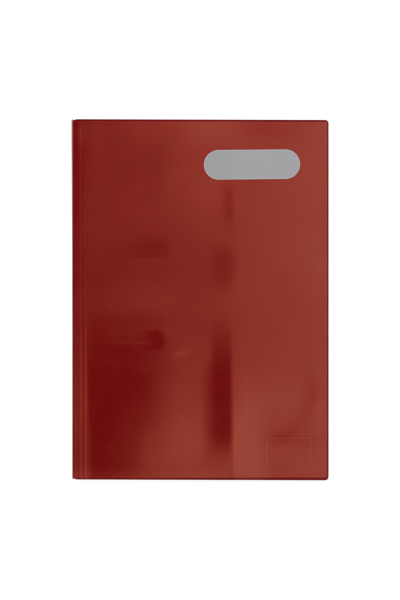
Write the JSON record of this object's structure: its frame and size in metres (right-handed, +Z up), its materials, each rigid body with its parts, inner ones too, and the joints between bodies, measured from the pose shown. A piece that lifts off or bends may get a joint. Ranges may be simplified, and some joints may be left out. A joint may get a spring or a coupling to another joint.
{
  "type": "ring binder",
  "caption": "Soft-cover A4 ring binder with welded vinyl covers, a grey label patch and a lever-worked ring mechanism inside.",
  "frame": {"origin": "centre of the closed binder's footprint, on the surface that it lies on", "axes": "+X from the spine to the fore edge, +Y to the head of the cover, +Z up through the thickness"},
  "size_m": [0.221, 0.31, 0.028],
  "materials": {
    "cover_vinyl": "semi-gloss calendered vinyl",
    "lining_vinyl": "satin vinyl film",
    "pocket_vinyl": "satin vinyl film",
    "label_vinyl": "matt grey film",
    "grey_board": "uncoated greyboard",
    "nickel_plate": "nickel-plated pressed steel",
    "ring_wire": "polished nickel-plated wire",
    "bare_steel": "zinc-plated steel strip",
    "rivet_steel": "nickel-plated rivet"
  },
  "bodies": {
    "back_cover": {"back_outer_sheet": "cover_vinyl", "back_lining": "lining_vinyl", "back_pocket_flap": "pocket_vinyl", "back_board": "grey_board", "rail_housing": "nickel_plate", "lever_pin_head": "bare_steel", "lever_pin_foot": "bare_steel", "rivet_head": "rivet_steel", "rivet_foot": "rivet_steel", "rivet_cap_head": "rivet_steel", "rivet_cap_foot": "rivet_steel"},
    "spine": {"spine_outer_sheet": "cover_vinyl", "spine_lining": "lining_vinyl", "spine_board": "grey_board"},
    "front_cover": {"front_outer_sheet": "cover_vinyl", "front_lining": "lining_vinyl", "front_pocket_flap": "pocket_vinyl", "label_patch": "label_vinyl"},
    "plate_left": {"hinge_plate_left": "bare_steel", "ring_head_left": "ring_wire", "ring_foot_left": "ring_wire"},
    "plate_right": {"hinge_plate_right": "bare_steel", "ring_head_right": "ring_wire", "ring_foot_right": "ring_wire"},
    "head_lever": {"lever_head": "nickel_plate"},
    "foot_lever": {"lever_foot": "nickel_plate"}
  },
  "joints": [
    {"name": "spine_fold", "type": "hinge", "parent": "back_cover", "child": "spine", "pos_m": [-0.1095, 0, 0.001], "axis": [0, -1, 0], "range_deg": [0, 90]},
    {"name": "front_fold", "type": "hinge", "parent": "spine", "child": "front_cover", "pos_m": [-0.1095, 0, 0.027], "axis": [0, -1, 0], "range_deg": [0, 96.5]},
    {"name": "rings_open_left", "type": "hinge", "parent": "back_cover", "child": "plate_left", "pos_m": [-0.0986, 0, 0.00395], "axis": [0, -1, 0], "range_deg": [0, 14]},
    {"name": "rings_open_right", "type": "hinge", "parent": "back_cover", "child": "plate_right", "pos_m": [-0.0864, 0, 0.00395], "axis": [0, 1, 0], "range_deg": [0, 14]},
    {"name": "head_lever_press", "type": "hinge", "parent": "back_cover", "child": "head_lever", "pos_m": [-0.0925, 0.062, 0.0049], "axis": [-1, 0, 0], "range_deg": [0, 16.8]},
    {"name": "foot_lever_press", "type": "hinge", "parent": "back_cover", "child": "foot_lever", "pos_m": [-0.0925, -0.062, 0.0049], "axis": [1, 0, 0], "range_deg": [0, 16.8]}
  ],
  "couplings": [
    {"joint": "rings_open_right", "follows": "rings_open_left", "ratio": 1},
    {"joint": "head_lever_press", "follows": "rings_open_left", "ratio": 1.2},
    {"joint": "foot_lever_press", "follows": "rings_open_left", "ratio": 1.2}
  ]
}
